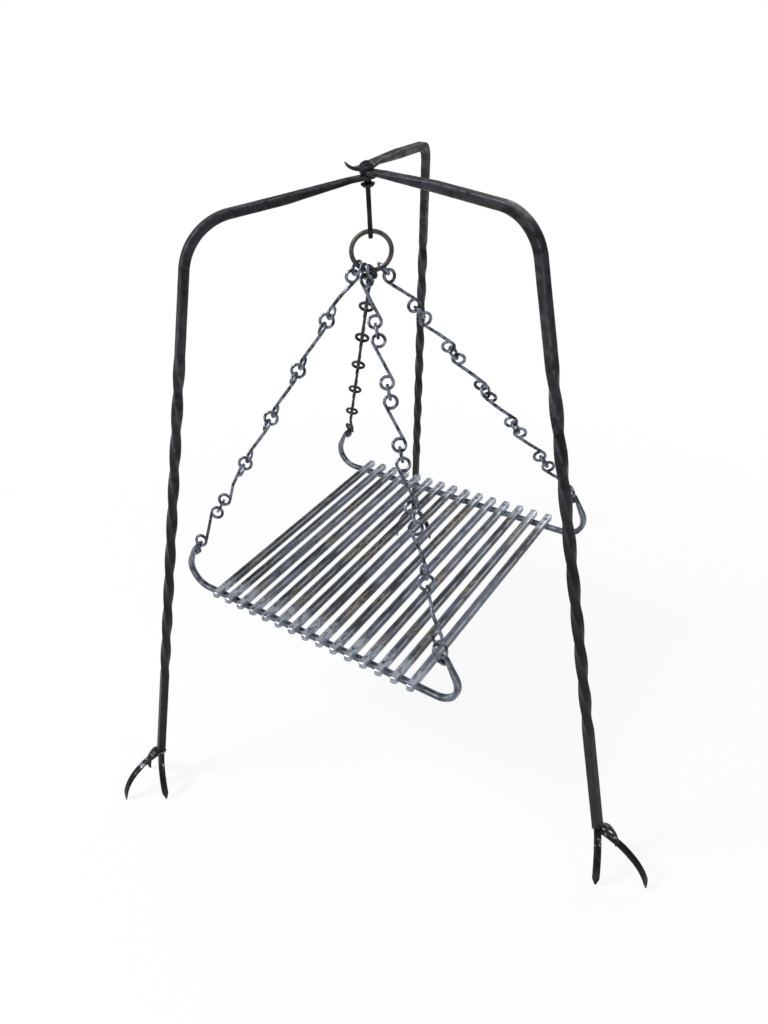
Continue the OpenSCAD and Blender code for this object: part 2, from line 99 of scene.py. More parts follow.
# Each chain: its rail corner, its place on the main ring, and the turn of each ring and eye about it
CHAINS = {
    "a": dict(corner=(-1, -1), hang=-44.5, lift=0.5, rings=(51, 72, 162, 162, 162, 162, 105),
              low=(328, 342, 92, 92, 92, 100), high=(342, 272, 92, 92, 92, 188)),
    "b": dict(corner=(1, -1), hang=-23, lift=1, rings=(126, 76, 166, 166, 166, 166, 191),
              low=(210, 194, 256, 256, 256, 256), high=(166, 256, 256, 256, 256, 286)),
    "c": dict(corner=(1, 1), hang=29.5, lift=0.4, rings=(51, 80, 70, 50, 65, 100, 104),
              low=(145, 170, 160, 140, 155, 190), high=(170, 160, 140, 155, 190, 208)),
    "d": dict(corner=(-1, 1), hang=-3, lift=0.8, rings=(127, 67, 67, 67, 67, 67, 211),
              low=(30, -23, -23, -23, -23, -23), high=(-23, -23, -23, -23, -23, -41)),
}


def length(name, millimetres, text):
    """A size in the sidebar, given in millimetres and kept in metres."""
    return bpy.props.FloatProperty(name=name, description=text, default=millimetres * MM, min=0.0,
                                   precision=5, unit="LENGTH")


def angle(name, degrees, text):
    """An angle in the sidebar, given in degrees."""
    return bpy.props.FloatProperty(name=name, description=text, default=radians(degrees), unit="ROTATION")


def colour(name, value, text):
    """A linear colour in the sidebar."""
    return bpy.props.FloatVectorProperty(name=name, description=text, default=value, size=3, min=0.0,
                                         max=1.0, subtype="COLOR")


class StandSizes(bpy.types.PropertyGroup):
    """Sizes of the legs, their flattened ends and the claw feet."""
    corner_height: length("Corner height", 893.6, "Height of the corner between arm and leg")
    bar: length("Leg bar", 12, "Side of the square leg bar")
    twist_from: length("Twist from", 171, "Distance below the corner where the twist starts")
    twist_to: length("Twist to", 693, "Distance below the corner where the twist ends")
    quarter_turns: bpy.props.IntProperty(name="Quarter turns", description="Quarter turns in the twist",
                                         default=9, min=1, max=30)
    leaf_top: length("Top leaf height", 918, "Height of the middle of the topmost flattened end")
    leaf_thick: length("Leaf thickness", 6, "Thickness of a flattened end")
    leaf_gap: length("Leaf gap", 0.3, "Space between two flattened ends")
    leaf_wide: length("Leaf width", 18, "Width of a flattened end")
    leaf_reach: length("Leaf reach", 26, "Distance from the pin to where the arm starts to thicken")
    taper: length("Taper", 92, "Distance along the arm where it is full size")
    pin: length("Pin radius", 4, "Radius of the pivot pin")
    foot_height: length("Foot height", 60, "Height of the top of the claws")
    claw_wide: length("Claw width", 10, "Width of a claw")
    claw_thick: length("Claw thickness", 5.5, "Thickness of a claw at the leg")


class HookSizes(bpy.types.PropertyGroup):
    """Sizes of the swivel hook, its collar and the main ring."""
    turn: angle("Hook turn", -56, "Direction that the hook opens to")
    wire: length("Hook radius", 3.2, "Radius of the hook's bar")
    bend: length("Hook bend", 8.85, "Radius of the hook's bend")
    height: length("Hook height", 836.5, "Height of the middle of the hook's bend")
    shoulder: length("Shoulder height", 897.9, "Height of the shoulder over the collar")
    ring: length("Ring radius", 27, "Radius of the main ring, to the middle of its bar")
    ring_wire: length("Ring bar radius", 3.2, "Radius of the main ring's bar")


class ChainSizes(bpy.types.PropertyGroup):
    """Sizes of the chains."""
    wire: length("Wire radius", 2.25, "Radius of the chain wire")
    eye: length("Eye radius", 8.5, "Radius of a link's rolled eye, to the middle of the wire")
    ring: length("Ring radius", 9.5, "Radius of a small ring, to the middle of the wire")
    large_ring: length("Large ring radius", 13, "Radius of the lowest ring of chain b")
    large_wire: length("Large ring wire", 2, "Wire radius of the lowest ring of chain b")
    eye_open: angle("Eye opening", 36, "Angle between a link's shank and the end of its eye")
    play: length("Play", 0.35, "Space between a ring and the eye that it holds")


class GrateSizes(bpy.types.PropertyGroup):
    """Sizes of the bars, rails and rivets."""
    bars: bpy.props.IntProperty(name="Bars", description="Number of bars", default=15, min=2, max=40)
    pitch: length("Bar pitch", 25.6, "Distance between two bars, middle to middle")
    bar_long: length("Bar length", 461, "Length of a bar")
    bar: length("Bar side", 10.5, "Side of a square bar")
    height: length("Bar height", 292.75, "Height of the middle of the bars")
    rail_out: length("Rail distance", 212, "Distance of each rail from the middle")
    rail: length("Rail side", 8, "Side of a square rail")
    curl: length("Rail bend", 33, "Radius of the upswept bend at a rail's end")
    curl_end: angle("Rail lean", 24, "Lean of the rail's end towards the middle")
    eye_out: length("Eye distance", 223, "Distance of a rail's rolled eye from the middle")
    eye_height: length("Eye height", 355, "Height of a rail's rolled eye")
    eye_hole: length("Eye hole", 4.2, "Radius of the hole in a rolled eye")
    eye_wall: length("Eye wall", 2.8, "Thickness of the rolled end")
    rivet: length("Rivet radius", 1.6, "Radius of a rivet's shank")
    chain_out: length("Chain distance", 4, "Distance of a chain's lowest ring from the rail's middle")


class FinishColours(bpy.types.PropertyGroup):
    """Colours of the forged surfaces and of the floor."""
    black: colour("Black iron", (0.0065, 0.006, 0.006), "Waxed black iron of the stand")
    # Partly real polish, partly painted sheen: lighter blue-grey patches along the arms
    sheen: colour("Sheen", (0.05, 0.053, 0.064), "Blue-grey polish along the arms")
    # Darker brown towards the bottom of the legs
    lower_brown: colour("Soot", (0.0075, 0.006, 0.005), "Sooty brown of the lower legs")
    coal: colour("Coal iron", (0.022, 0.021, 0.022), "Greyer patches of the stand")
    brown: colour("Brown scale", (0.034, 0.024, 0.018), "Brown forge scale")
    slate: colour("Slate iron", (0.034, 0.037, 0.046), "Blue-grey iron where scale has come off")
    steel: colour("Grey steel", (0.125, 0.142, 0.182), "Blue-grey steel of the chains")
    pale: colour("Pale steel", (0.24, 0.27, 0.335), "Paler stretches of the chains")
    bright: colour("Bright steel", (0.46, 0.50, 0.57), "Steel rubbed bright")
    umber: colour("Umber iron", (0.12, 0.10, 0.088), "Brown-grey iron of the main ring")
    stain: colour("Stain", (0.29, 0.235, 0.15), "Yellow-brown stains on the bars")
    # Painted highlight: a bright colour laid in spots near the top of the claws, by their joint with the leg
    weld: colour("Weld spots", (0.30, 0.33, 0.40), "Bright spots where the claws are welded")
    floor: colour("Floor", (0.86, 0.86, 0.86), "Pale studio floor")


class CameraSettings(bpy.types.PropertyGroup):
    """Place and framing of the camera, found from points of the object in the photograph."""
    place: bpy.props.FloatVectorProperty(name="Place", description="Where the camera stands", size=3,
                                         default=(0.611734, -0.894940, 1.144286), subtype="TRANSLATION")
    around: angle("Azimuth", 41.7224, "Direction that the camera stands in, seen from the object")
    above: angle("Elevation", 29.2549, "Angle that the camera looks down by")
    roll: angle("Roll", -6.6889, "Tilt of the camera about its line of sight")
    lens: bpy.props.FloatProperty(name="Lens", description="Focal length in millimetres", default=28.782)
    shift: bpy.props.FloatVectorProperty(name="Shift", description="Shift of the frame", size=2,
                                         default=(0.09286, -0.0765))


SETTINGS = {
    "grate_stand": StandSizes,
    "grate_hook": HookSizes,
    "grate_chain": ChainSizes,
    "grate_rack": GrateSizes,
    "grate_finish": FinishColours,
    "grate_camera": CameraSettings,
}


def arithmetic(operation, reflected=False):
    """A method of Wire that adds the node of one operation."""
    def method(self, *others):
        values = (*others, self) if reflected else (self, *others)
        return self.join(operation, values)
    return method


class Wire:
    """An output of a node, with arithmetic that adds the next node."""
    __add__ = arithmetic("ADD")
    __radd__ = arithmetic("ADD", reflected=True)
    __sub__ = arithmetic("SUBTRACT")
    __rsub__ = arithmetic("SUBTRACT", reflected=True)
    __mul__ = arithmetic("MULTIPLY")
    __rmul__ = arithmetic("MULTIPLY", reflected=True)
    __truediv__ = arithmetic("DIVIDE")
    __rtruediv__ = arithmetic("DIVIDE", reflected=True)
    __pow__ = arithmetic("POWER")
    __rpow__ = arithmetic("POWER", reflected=True)
    __abs__ = arithmetic("ABSOLUTE")
    floor = arithmetic("FLOOR")
    sine = arithmetic("SINE")
    cosine = arithmetic("COSINE")
    largest = arithmetic("MAXIMUM")

    def __init__(self, graph, socket):
        self.graph = graph
        self.socket = socket

    def join(self, operation, values):
        """The next node: plain maths, or vector maths where one of the values is a vector."""
        vectors = [getattr(getattr(value, "socket", None), "type", "") == "VECTOR" for value in values]
        kind = "ShaderNodeVectorMath" if any(vectors) else "ShaderNodeMath"
        sockets = dict(enumerate(values))
        if operation == "MULTIPLY" and any(vectors) and not all(vectors):
            vector, factor = values if vectors[0] else reversed(values)
            operation, sockets = "SCALE", {0: vector, "Scale": factor}
        return self.graph.add(kind, sockets, operation=operation)

    def between(self, low, high):
        """0 at low, 1 at high and a smooth slope between them."""
        return self.graph.add("ShaderNodeMapRange", {"Value": self, "From Min": low, "From Max": high},
                              interpolation_type="SMOOTHSTEP")

    def clamped(self):
        """The value, kept between 0 and 1."""
        return self.graph.add("ShaderNodeClamp", {"Value": self})


class Graph:
    """Adds nodes to a tree by type, settings and sockets."""

    def __init__(self, tree):
        self.tree = tree
        tree.nodes.clear()

    def node(self, kind, sockets=None, **settings):
        """A new node, with its settings, and the values or wires that its sockets get."""
        node = self.tree.nodes.new(kind)
        for name, value in settings.items():
            setattr(node, name, value)
        for key, value in (sockets or {}).items():
            if isinstance(value, Wire):
                self.tree.links.new(value.socket, node.inputs[key])
            else:
                node.inputs[key].default_value = value
        return node

    def add(self, kind, sockets=None, output=0, **settings):
        """One output of a new node, as a wire."""
        return Wire(self, self.node(kind, sockets, **settings).outputs[output])

    def blend(self, factor, first, second):
        """One colour laid over another."""
        return self.add("ShaderNodeMix", {0: factor, 6: first, 7: second}, data_type="RGBA", output=2)

    def attribute(self, name, kind):
        """A named attribute of the path, in a geometry tree."""
        return self.add("GeometryNodeInputNamedAttribute", {"Name": name}, data_type=kind)


def geometry_tree(name, inputs):
    """An empty geometry tree with named inputs, its graph, its inputs as wires and its way out."""
    tree = bpy.data.node_groups.new(name, "GeometryNodeTree")
    for label, kind in inputs:
        tree.interface.new_socket(label, in_out="INPUT", socket_type="NodeSocket" + kind)
    tree.interface.new_socket("Geometry", in_out="OUTPUT", socket_type="NodeSocketGeometry")
    graph = Graph(tree)
    entry = graph.node("NodeGroupInput")
    given = {label: Wire(graph, entry.outputs[label]) for label, _ in inputs}
    return tree, graph, given


def close_tree(graph, shape, material):
    """Ends a geometry tree with plain, smooth geometry in its material."""
    shape = graph.add("GeometryNodeRealizeInstances", {0: shape})
    shape = graph.add("GeometryNodeSetShadeSmooth", {"Geometry": shape, "Shade Smooth": True})
    shape = graph.add("GeometryNodeSetMaterial", {"Geometry": shape, "Material": material})
    graph.node("NodeGroupOutput", {0: shape})


def hammered(graph, shape, depth, size, seed):
    """Moves a surface in and out a little, as hammering leaves it."""
    place = graph.add("GeometryNodeInputPosition")
    dents = graph.add("ShaderNodeTexNoise", {"Vector": place, "W": seed, "Scale": 1 / size, "Detail": 2.0},
                      noise_dimensions="4D")
    normal = graph.add("GeometryNodeInputNormal")
    return graph.add("GeometryNodeSetPosition",
                     {"Geometry": shape, "Offset": normal * ((dents - 0.5) * 2 * depth)})


def forged_bar_tree():
    """A bar forged along a path: each point of the path holds its own section, and a stretch is twisted."""
    tree, graph, given = geometry_tree("Forged bar", [
        ("Path", "Geometry"), ("Around", "Int"), ("Twist From", "Float"), ("Twist To", "Float"),
        ("Quarter Turns", "Float"), ("Dent Depth", "Float"), ("Dent Size", "Float"), ("Seed", "Float"),
        ("Material", "Material")])
    path = given["Path"]
    stride = given["Around"] + 1
    stations = graph.add("GeometryNodeAttributeDomainSize", {0: path}, component="MESH")
    grid = graph.add("GeometryNodeMeshGrid", {"Vertices X": stations, "Vertices Y": stride})
    index = graph.add("GeometryNodeInputIndex")
    row = ((index + 0.5) / stride).floor()
    column = index - row * stride

    def at_station(value, kind):
        return graph.add("GeometryNodeSampleIndex", {"Geometry": path, "Value": value, "Index": row},
                         data_type=kind, domain="POINT")

    middle = at_station(graph.add("GeometryNodeInputPosition"), "FLOAT_VECTOR")
    side = at_station(graph.attribute("side", "FLOAT_VECTOR"), "FLOAT_VECTOR")
    up = at_station(graph.attribute("up", "FLOAT_VECTOR"), "FLOAT_VECTOR")
    wide, thick, square, run = [at_station(graph.attribute(name, "FLOAT"), "FLOAT")
                                for name in ("wide", "thick", "square", "run")]
    turn = (column + 0.5) * tau / given["Around"]
    turn = turn + (turn * 4).sine() * (square.between(2.5, 6.0) * CROWD)
    edge = (abs(turn.cosine()) ** square + abs(turn.sine()) ** square) ** (-1.0 / square)
    across = edge * turn.cosine() * wide
    over = edge * turn.sine() * thick
    reach = ((run - given["Twist From"]) / (given["Twist To"] - given["Twist From"])).clamped()
    twist = reach * given["Quarter Turns"] * (pi / 2)
    place = (middle + side * (across * twist.cosine() - over * twist.sine())
             + up * (across * twist.sine() + over * twist.cosine()))
    shape = graph.add("GeometryNodeSetPosition", {"Geometry": grid, "Position": place})
    corner = abs((turn * 2).sine()) ** 12.0 * square.between(2.0, 8.0)
    stored = {"Geometry": shape, "Name": "corner", "Value": corner}
    shape = graph.add("GeometryNodeStoreNamedAttribute", stored, data_type="FLOAT", domain="POINT")
    shape = graph.add("GeometryNodeMergeByDistance", {"Geometry": shape, "Distance": WELD})
    shape = hammered(graph, shape, given["Dent Depth"], given["Dent Size"], given["Seed"])
    close_tree(graph, shape, given["Material"])
    return tree


def rivet_row_tree():
    """A row of rivets, each turned and sized a little differently."""
    tree, graph, given = geometry_tree("Rivet row", [
        ("Rivet", "Geometry"), ("Count", "Int"), ("Start", "Vector"), ("Step", "Vector"), ("Seed", "Int"),
        ("Material", "Material")])
    line = graph.add("GeometryNodeMeshLine",
                     {"Count": given["Count"], "Start Location": given["Start"], "Offset": given["Step"]},
                     mode="OFFSET")
    turn = graph.add("FunctionNodeRandomValue",
                     {0: (0.0, 0.0, 0.0), 1: (0.0, 0.0, tau), "Seed": given["Seed"]},
                     data_type="FLOAT_VECTOR")
    size = graph.add("FunctionNodeRandomValue",
                     {0: (0.92, 0.92, 0.99), 1: (1.06, 1.06, 1.01), "Seed": given["Seed"]},
                     data_type="FLOAT_VECTOR")
    row = graph.add("GeometryNodeInstanceOnPoints",
                    {"Points": line, "Instance": given["Rivet"], "Rotation": turn, "Scale": size})
    close_tree(graph, row, given["Material"])
    return tree


TREES = {}


def tree_named(builder):
    """The tree that a builder makes, made once."""
    if builder.__name__ not in TREES:
        TREES[builder.__name__] = builder()
    return TREES[builder.__name__]


def placed(name, data):
    """A new object in the scene, at the origin."""
    thing = bpy.data.objects.new(name, data)
    bpy.context.scene.collection.objects.link(thing)
    return thing


def applied(thing, modifier):
    """The plain mesh that a modifier makes of an object, which then loses the modifier."""
    depsgraph = bpy.context.evaluated_depsgraph_get()
    mesh = bpy.data.meshes.new_from_object(thing.evaluated_get(depsgraph), depsgraph=depsgraph)
    thing.modifiers.remove(modifier)
    return mesh


def grown(tree, source, values):
    """The plain mesh that a geometry tree makes from a source mesh."""
    maker = placed("maker", source)
    modifier = maker.modifiers.new("Forge", "NODES")
    modifier.node_group = tree
    for item in tree.interface.items_tree:
        if item.in_out == "INPUT" and item.name in values:
            modifier[item.identifier] = values[item.name]
    mesh = applied(maker, modifier)
    bpy.data.objects.remove(maker)
    return mesh


@dataclass
class Station:
    """One section of a forged bar: its middle, two directions, two half sizes, squareness and run."""
    at: Vector
    side: Vector
    up: Vector
    wide: float
    thick: float
    square: float = BAR_SQUARE
    run: float = 0.0


def moved(stations, matrix):
    """The stations, placed by a matrix."""
    turn = matrix.to_3x3()
    return [replace(s, at=matrix @ s.at, side=turn @ s.side, up=turn @ s.up) for s in stations]


def capped(stations):
    """The stations with both ends closed, each to a point in its last section."""
    first, last = stations[0], stations[-1]
    return [replace(first, wide=0.0, thick=0.0)] + stations + [replace(last, wide=0.0, thick=0.0)]


def inward(stations):
    """The stations of an arc, with up towards the arc's middle."""
    return [replace(s, up=-s.up) for s in stations]


def forged(stations, material, around=24, dent=0.1, dent_size=9, seed=0, twist=(0, 1, 0)):
    """A bar swept along its stations, as a mesh, with dents so many millimetres deep and across."""
    path = bpy.data.meshes.new("path")
    path.from_pydata([s.at for s in stations], [(i, i + 1) for i in range(len(stations) - 1)], [])
    for name in ("side", "up"):
        layer = path.attributes.new(name, "FLOAT_VECTOR", "POINT")
        layer.data.foreach_set("vector", [v for s in stations for v in getattr(s, name)])
    for name in ("wide", "thick", "square", "run"):
        layer = path.attributes.new(name, "FLOAT", "POINT")
        layer.data.foreach_set("value", [getattr(s, name) for s in stations])
    return grown(tree_named(forged_bar_tree), path, {
        "Around": around, "Twist From": float(twist[0]), "Twist To": float(twist[1]),
        "Quarter Turns": float(twist[2]), "Dent Depth": dent * MM, "Dent Size": dent_size * MM,
        "Seed": float(seed), "Material": material})


def lathed(profile, material, around=40, closed=False):
    """A profile of radius and height turned about the Z axis, as a mesh."""
    shape = bmesh.new()
    rings = []
    for radius, height in profile:
        if radius == 0:
            rings.append([shape.verts.new((0.0, 0.0, height))] * around)
            continue
        turns = [tau * i / around for i in range(around)]
        rings.append([shape.verts.new((radius * cos(t), radius * sin(t), height)) for t in turns])
    pairs = list(zip(rings, rings[1:]))
    if closed:
        pairs.append((rings[-1], rings[0]))
    for low, high in pairs:
        for i in range(around):
            j = (i + 1) % around
            corners = list(dict.fromkeys((low[i], low[j], high[j], high[i])))
            if len(corners) > 2:
                shape.faces.new(corners).smooth = True
    mesh = bpy.data.meshes.new("lathed")
    shape.to_mesh(mesh)
    shape.free()
    mesh.materials.append(material)
    return mesh


def finished(name, meshes, node, drill=None):
    """One piece from its meshes: joined, faces outward, riding on its node's body in the node's place."""
    shape = bmesh.new()
    for mesh in meshes:
        shape.from_mesh(mesh)
    bmesh.ops.recalc_face_normals(shape, faces=shape.faces)
    mesh = bpy.data.meshes.new(name)
    for material in meshes[0].materials:
        mesh.materials.append(material)
    shape.to_mesh(mesh)
    shape.free()
    piece = placed(name, mesh)
    if drill:
        drilled(piece, *drill)
    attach(piece, BODY_OF[node])
    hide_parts(node)
    return piece


def drilled(piece, radius, low, high):
    """Drills a hole about the Z axis through a piece."""
    profile = [(0, low), (radius, low), (radius, high), (0, high)]
    cutter = placed("drill", lathed(profile, piece.data.materials[0], around=48))
    cut = piece.modifiers.new("Drill", "BOOLEAN")
    cut.object = cutter
    cut.solver = "EXACT"
    piece.data = applied(piece, cut)
    bpy.data.objects.remove(cutter)


def steps(low, high, spacing):
    """Evenly spread values from low to high, about the given spacing apart."""
    count = max(1, round(abs(high - low) / spacing))
    return [low + (high - low) * i / count for i in range(count + 1)]


def turned(angle_round, axis):
    """A rotation about a named axis, its angle in radians."""
    return Matrix.Rotation(angle_round, 4, axis)


def flat_point(x, z):
    """A point of the XZ plane."""
    return Vector((x, 0.0, z))


def arc_stations(centre, radius, start, end, wide, thick, spacing, square=BAR_SQUARE):
    """Stations along an arc in the XZ plane, angles measured from +X towards +Z."""
    outward = [flat_point(cos(a), sin(a)) for a in steps(start, end, spacing / radius)]
    return [Station(centre + out * radius, Y, out, wide, thick, square) for out in outward]


def ring_stations(radius, wire):
    """Stations round a closed ring in the XZ plane."""
    return arc_stations(Vector(), radius, 0.0, tau, wire, wire, 1.6 * MM, RING_SQUARE)


class Texture:
    """The noises and masks that the iron finishes share, on Object coordinates."""

    def __init__(self, graph):
        self.graph = graph
        self.place = graph.add("ShaderNodeTexCoord", output=3)
        self.corner = graph.add("ShaderNodeAttribute", attribute_name="corner", output=2)

    def axis(self, number):
        """One of the three coordinates, in metres."""
        return self.graph.add("ShaderNodeSeparateXYZ", {0: self.place}, output=number)

    def noise(self, millimetres, detail=4.0, stretch=(1.0, 1.0, 1.0), rough=0.55):
        """Noise whose features are about so many millimetres across."""
        place = self.graph.add("ShaderNodeMapping", {"Vector": self.place, "Scale": stretch})
        return self.graph.add("ShaderNodeTexNoise", {
            "Vector": place, "Scale": 1 / (millimetres * MM), "Detail": detail, "Roughness": rough})

    def dents(self, millimetres):
        """Overlapping hollows, as a round-faced hammer leaves them."""
        return self.graph.add("ShaderNodeTexVoronoi",
                              {"Vector": self.place, "Scale": 1 / (millimetres * MM), "Smoothness": 0.6},
                              feature="SMOOTH_F1")


def new_material(name):
    """A node material without nodes, and its graph."""
    material = bpy.data.materials.new(name)
    material.use_nodes = True
    return material, Graph(material.node_tree)


def iron(name, tones, metal=0.75, rough=(0.34, 0.56), dent=11, wear_and_highlight=0.4, gloss=0.5, patches=34, depth=0.8,
         grain=(1.0, 1.0, 1.0), extra=None):
    """Forged iron: a main, a patchy and a warm tone, rubbed edges that are partly painted highlights, hammer
    dents and fine scale.
    """
    main, patch, warm, bright = tones
    material, graph = new_material(name)
    skin = Texture(graph)
    broad = skin.noise(patches, detail=7.0, stretch=grain)
    middle = skin.noise(9, detail=5.0, stretch=grain)
    fine = skin.noise(1.6, detail=6.0, rough=0.65)
    tone = graph.blend(broad.between(0.44, 0.58), main, patch)
    tone = graph.blend(skin.noise(21, detail=7.0).between(0.54, 0.66) * 0.75, tone, warm)
    # Rubbed edges and specks: partly real wear, partly painted highlights along the edges
    rubbed_and_highlight = (skin.corner * middle.between(0.36, 0.62) + fine.between(0.60, 0.76) * 0.5) * wear_and_highlight
    tone = graph.blend(rubbed_and_highlight.clamped(), tone, bright)
    roughness = rough[0] + (rough[1] - rough[0]) * middle + (fine - 0.5) * 0.12
    if extra:
        tone, roughness = extra(graph, skin, tone, roughness)
    relief = skin.dents(dent) * 0.6 + fine * 0.16 + middle * 0.35
    bump = graph.add("ShaderNodeBump", {"Height": relief, "Strength": 0.55, "Distance": depth * MM})
    shader = graph.add("ShaderNodeBsdfPrincipled", {
        "Base Color": tone, "Roughness": roughness, "Metallic": metal, "Specular IOR Level": gloss,
        "Normal": bump})
    graph.node("ShaderNodeOutputMaterial", {"Surface": shader})
    return material


def joint_highlight_spots(weld):
    """Painted highlight: bright, smooth spots near the top of the claws, where claws and leg are welded."""
    def paint(graph, skin, tone, roughness):
        spots = skin.noise(7, detail=3.0).between(0.56, 0.66) * skin.axis(2).between(38 * MM, 52 * MM)
        return graph.blend(spots * 0.8, tone, weld), roughness - spots * 0.2
    return paint


def leg_tone_and_sheen(sheen, lower_brown):
    """Greyer, smoother iron with a painted blue-grey sheen along the arms, and darker brown iron towards the
    bottom.
    """
    def paint(graph, skin, tone, roughness):
        height = skin.axis(2) + (skin.noise(60) - 0.5) * 120 * MM
        # Darker brown towards the bottom of the legs
        low = 1 - height.between(400 * MM, 680 * MM)
        tone = graph.blend(low * 0.75, tone, lower_brown)
        # Partly real polish, partly painted sheen: lighter blue-grey patches on the upper stand, which is
        # also smoother
        polish_and_sheen = (1 - low) * skin.noise(16, detail=7.0, stretch=(0.6, 0.6, 1.0)).between(0.47, 0.57)
        return graph.blend(polish_and_sheen * 0.55, tone, sheen), roughness - polish_and_sheen * 0.2
    return paint


def bar_wear(stain, bright, rail_out):
    """Stains and scratches on the bars, and a polished stretch over each rail."""
    def paint(graph, skin, tone, roughness):
        away = abs(abs(skin.axis(1)) - rail_out) + (skin.noise(14) - 0.5) * 40 * MM
        near = 1 - away.between(8 * MM, 40 * MM)
        chips = skin.noise(6, detail=7.0, stretch=(1.0, 0.6, 1.0)).between(0.44, 0.52)
        tone = graph.blend(near * (0.3 + chips * 0.7), tone, bright)
        spill = skin.noise(40, detail=3.0, stretch=(1.0, 0.4, 1.0)).between(0.50, 0.62)
        crust = skin.noise(3.5, detail=6.0, stretch=(1.0, 0.35, 1.0)).between(0.46, 0.56)
        tone = graph.blend(spill * crust * (1 - near) * 0.85, tone, stain)
        scratch = skin.noise(1.1, detail=3.0, stretch=(1.0, 0.05, 1.0)).between(0.60, 0.72)
        return graph.blend(scratch * 0.35, tone, bright), roughness - near * 0.1
    return paint


FINISHES = {}


def make_finishes(scene):
    """All the iron finishes, by name."""
    def tones(*names):
        return [(*getattr(scene.grate_finish, name), 1.0) for name in names]

    stand_tone_and_sheen = leg_tone_and_sheen(*tones("sheen", "lower_brown"))
    wear_marks = bar_wear(*tones("stain", "bright"), scene.grate_rack.rail_out)
    FINISHES.update({
        "stand": iron("black_iron_stand", tones("black", "coal", "brown", "steel"), metal=0.3,
                      rough=(0.38, 0.6), dent=13, wear_and_highlight=0.5, gloss=0.3, extra=stand_tone_and_sheen),
        # The claws carry painted highlights near their joint with the leg
        "claw": iron("black_iron_claws", tones("black", "black", "brown", "steel"), metal=0.3, dent=9,
                     wear_and_highlight=0.25, gloss=0.22, extra=joint_highlight_spots(*tones("weld"))),
        "hook": iron("black_iron_hook", tones("black", "coal", "black", "steel"), metal=0.4, dent=8,
                     wear_and_highlight=0.3, gloss=0.35),
        "ring": iron("umber_iron_ring", tones("umber", "slate", "brown", "bright"), metal=0.45, dent=8,
                     wear_and_highlight=0.3),
        "bar": iron("grey_iron_bars", tones("slate", "steel", "brown", "bright"), metal=0.6,
                    rough=(0.3, 0.52), dent=19, wear_and_highlight=0.9, depth=0.3, grain=(1.0, 0.22, 1.0),
                    extra=wear_marks),
        "rail": iron("grey_iron_rails", tones("steel", "slate", "slate", "bright"), metal=0.6,
                     rough=(0.28, 0.5), dent=9, wear_and_highlight=0.7),
        "rivet": iron("bright_rivets", tones("bright", "steel", "slate", "bright"), metal=0.85, dent=4,
                      wear_and_highlight=0.5),
        "chain": iron("blue_grey_chain", tones("pale", "slate", "steel", "bright"), rough=(0.24, 0.46),
                      dent=6, wear_and_highlight=0.7, patches=9),
        # Chain d, on the far side, gets this darker copy of the chain finish as painted shade
        "painted_shade_chain": iron("painted_shade_chain", tones("slate", "black", "slate", "steel"), metal=0.5, dent=6),
    })


class LegShape:
    """Lengths, angles and frames of one leg, worked out from its driving sizes."""

    def __init__(self, stand, side):
        leg = LEGS[side]
        self.leaf_z = stand.leaf_top - leg["level"] * (stand.leaf_thick + stand.leaf_gap)
        start = self.leaf_z + leg["rise"] * MM
        out, fall = leg["reach"] * MM - stand.leaf_reach, start - stand.corner_height
        lean, tilt = radians(leg["lean"]), atan2(fall, out)
        self.bend = leg["bend"] * MM
        self.arm = hypot(out, fall)
        self.down = pi / 2 - radians(leg["slope"]) - tilt
        self.tangent = self.bend * tan(self.down / 2)
        drop = cos(self.down) * sin(tilt) + sin(self.down) * cos(lean) * cos(tilt)
        self.leg = (stand.corner_height - stand.foot_height) / drop
        self.turn = turned(radians(leg["turn"]), "Z")
        self.frame = (self.turn @ Matrix.Translation((stand.leaf_reach, 0, start)) @ turned(tilt, "Y")
                      @ turned(lean, "X"))

    def direction(self, a):
        """Along, and upwards square to it, where the bar has turned down by a."""
        return flat_point(cos(a), -sin(a)), flat_point(sin(a), cos(a))

    def foot(self):
        """The middle of the leg's end."""
        along, _ = self.direction(self.down)
        return self.frame @ (flat_point(self.arm, 0) + along * self.leg)


def leaf_stations(stand, shape, curled):
    """Stations of the flattened end, from its point over the pin to where the arm starts."""
    thick, widest = stand.leaf_thick / 2, stand.leaf_wide / 2 + 0.5 * MM
    # Distance from the pin along the arm, and half the width, in millimetres
    tip = [(-16, 0.2), (-15, 0.8), (-12, 2.9), (-9, 5.0), (-7, 6.5), (-4, 8.1), (0, 9.4)]
    neck = [(4, 9.5), (9, 9.3), (14, 9.05), (20, 9)]
    points = [(Vector((x * MM, 0, 0)), w * MM, thick * min(1.0, 0.45 + abs(x + 16) / 12)) for x, w in tip]
    if curled:
        swing = turned(radians(-34), "Z")
        # Distance along the tip, height, half the width and half the thickness, in millimetres
        curl = [(-33.6, 12.6, 0.6, 0.3), (-31.6, 10.1, 2.1, 0.8), (-29.2, 7.2, 3.1, 1.3),
                (-26.4, 4.9, 4.2, 1.6), (-22.5, 2.5, 5.2, 2.0), (-18, 0.8, 6.2, 2.5),
                (-13, 0.1, 7.2, 2.9), (-8, 0, 8.2, 3.0)]
        points = [(swing @ Vector((x * MM, 0, z * MM)), w * MM, t * MM) for x, z, w, t in curl]
        points.append((Vector((-4 * MM, 1.2 * MM, 0)), 9.1 * MM, thick))
        points.append((Vector((0, 0.3 * MM, 0)), widest, thick))
    points += [(Vector((x * MM, 0, 0)), w * MM, thick) for x, w in neck]
    found = []
    for i, (at, wide, half_thick) in enumerate(points):
        ahead = points[min(i + 1, len(points) - 1)][0] - points[max(i - 1, 0)][0]
        ahead.normalize()
        side = Z.cross(ahead).normalized()
        found.append(Station(at, side, ahead.cross(side), min(wide, widest), half_thick, LEAF_SQUARE))
    return moved(found, shape.turn @ Matrix.Translation((0, 0, shape.leaf_z)))


